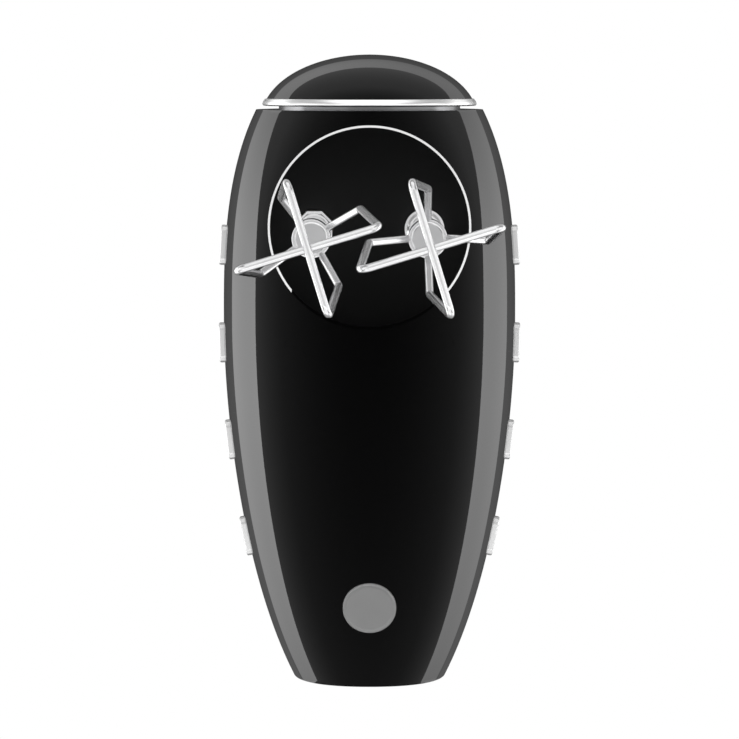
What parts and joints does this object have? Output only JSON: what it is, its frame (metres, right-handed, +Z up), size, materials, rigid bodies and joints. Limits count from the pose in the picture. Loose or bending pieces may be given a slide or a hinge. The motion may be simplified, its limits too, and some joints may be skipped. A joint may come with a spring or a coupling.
{
  "type": "hand mixer",
  "caption": "Retro hand mixer with an egg-shaped body, domed nose with a bright ring, loop handle and twin wire beaters, standing upright on its heel.",
  "frame": {"origin": "centre of the flat heel that the mixer stands on", "axes": "+Z up to the nose, -Y the way the beaters point, +Y the handle side, +X to the right seen from the beaters"},
  "size_m": [0.1042, 0.2637, 0.215],
  "materials": {
    "gloss_black": "polished",
    "neck_metal": "dark satin",
    "satin_black": "satin",
    "chrome": "polished",
    "steel": "polished wire",
    "foot_grey": "satin",
    "window": "smoked",
    "display": "display block",
    "key_grey": "satin chrome look",
    "rubber": "matt",
    "laminate": "stacked plates",
    "copper": "enamelled copper",
    "carbon": "carbon block",
    "board": "circuit board",
    "nylon": "natural nylon",
    "case_grey": "glass-filled nylon",
    "bronze": "sintered",
    "zinc": "zinc plated"
  },
  "bodies": {
    "housing": {"lower_housing": "gloss_black", "upper_housing": "gloss_black", "handle_grip": "gloss_black", "handle_cover": "gloss_black", "nose_cap": "gloss_black", "nose_trim_ring": "chrome", "nose_neck": "neck_metal", "socket_plate": "gloss_black", "socket_trim": "chrome", "foot_disc": "foot_grey", "heel_plate": "rubber", "side_bars_left": "chrome", "side_bars_right": "chrome", "housing_screws": "zinc", "handle_screws": "zinc", "cord_inlet": "rubber", "control_panel": "satin_black", "display_lens": "window", "display_module": "display", "control_board": "board", "key_switches": "satin_black", "eject_spring": "steel", "spindle_bushes": "bronze", "gear_case": "case_grey", "gear_case_cover": "case_grey", "case_screws": "zinc", "stator_core": "laminate", "field_coils": "copper", "motor_bearings": "bronze", "bearing_bracket": "case_grey", "brush_holders": "bronze", "carbon_brushes": "carbon", "motor_bolts": "zinc", "power_board": "board"},
    "armature": {"motor_shaft": "steel", "worm": "steel", "armature_core": "laminate", "armature_windings": "copper", "commutator": "copper", "cooling_fan": "nylon"},
    "left_spindle": {"spindle_left": "steel", "worm_wheel_left": "nylon"},
    "right_spindle": {"spindle_right": "steel", "worm_wheel_right": "nylon"},
    "left_beater": {"beater_shaft_left": "steel", "beater_collar_left": "steel", "beater_hub_left": "steel", "wire_loop_a_left": "steel", "wire_loop_b_left": "steel"},
    "right_beater": {"beater_shaft_right": "steel", "beater_collar_right": "steel", "beater_hub_right": "steel", "wire_loop_a_right": "steel", "wire_loop_b_right": "steel"},
    "speed_up_key": {"speed_up_button": "key_grey"},
    "speed_down_key": {"speed_down_button": "key_grey"},
    "turbo_key": {"turbo_button": "key_grey"},
    "ejector": {"eject_button": "chrome", "eject_rod": "zinc", "eject_plate": "zinc"}
  },
  "joints": [
    {"name": "motor_spin", "type": "hinge", "parent": "housing", "child": "armature", "pos_m": [0, -0.004, 0.1], "axis": [0, 0, 1], "continuous": true},
    {"name": "left_spindle_spin", "type": "hinge", "parent": "housing", "child": "left_spindle", "pos_m": [-0.018, -0.004, 0.158], "axis": [0, 1, 0], "continuous": true},
    {"name": "right_spindle_spin", "type": "hinge", "parent": "housing", "child": "right_spindle", "pos_m": [0.018, -0.004, 0.158], "axis": [0, 1, 0], "continuous": true},
    {"name": "left_beater_pull", "type": "slide", "parent": "left_spindle", "child": "left_beater", "axis": [0, -1, 0], "range_m": [0, 0.038]},
    {"name": "right_beater_pull", "type": "slide", "parent": "right_spindle", "child": "right_beater", "axis": [0, -1, 0], "range_m": [0, 0.038]},
    {"name": "speed_up_press", "type": "slide", "parent": "housing", "child": "speed_up_key", "axis": [0, -1, 0], "range_m": [0, 0.0012], "stiffness_N_per_m": 1000},
    {"name": "speed_down_press", "type": "slide", "parent": "housing", "child": "speed_down_key", "axis": [0, -1, 0], "range_m": [0, 0.0012], "stiffness_N_per_m": 1000},
    {"name": "turbo_press", "type": "slide", "parent": "housing", "child": "turbo_key", "axis": [0, -1, 0], "range_m": [0, 0.0012], "stiffness_N_per_m": 1000},
    {"name": "eject_press", "type": "slide", "parent": "housing", "child": "ejector", "axis": [0, -1, 0], "range_m": [0, 0.006], "stiffness_N_per_m": 1500}
  ],
  "couplings": [
    {"joint": "left_spindle_spin", "follows": "motor_spin", "ratio": 0.05},
    {"joint": "right_spindle_spin", "follows": "motor_spin", "ratio": -0.05}
  ]
}
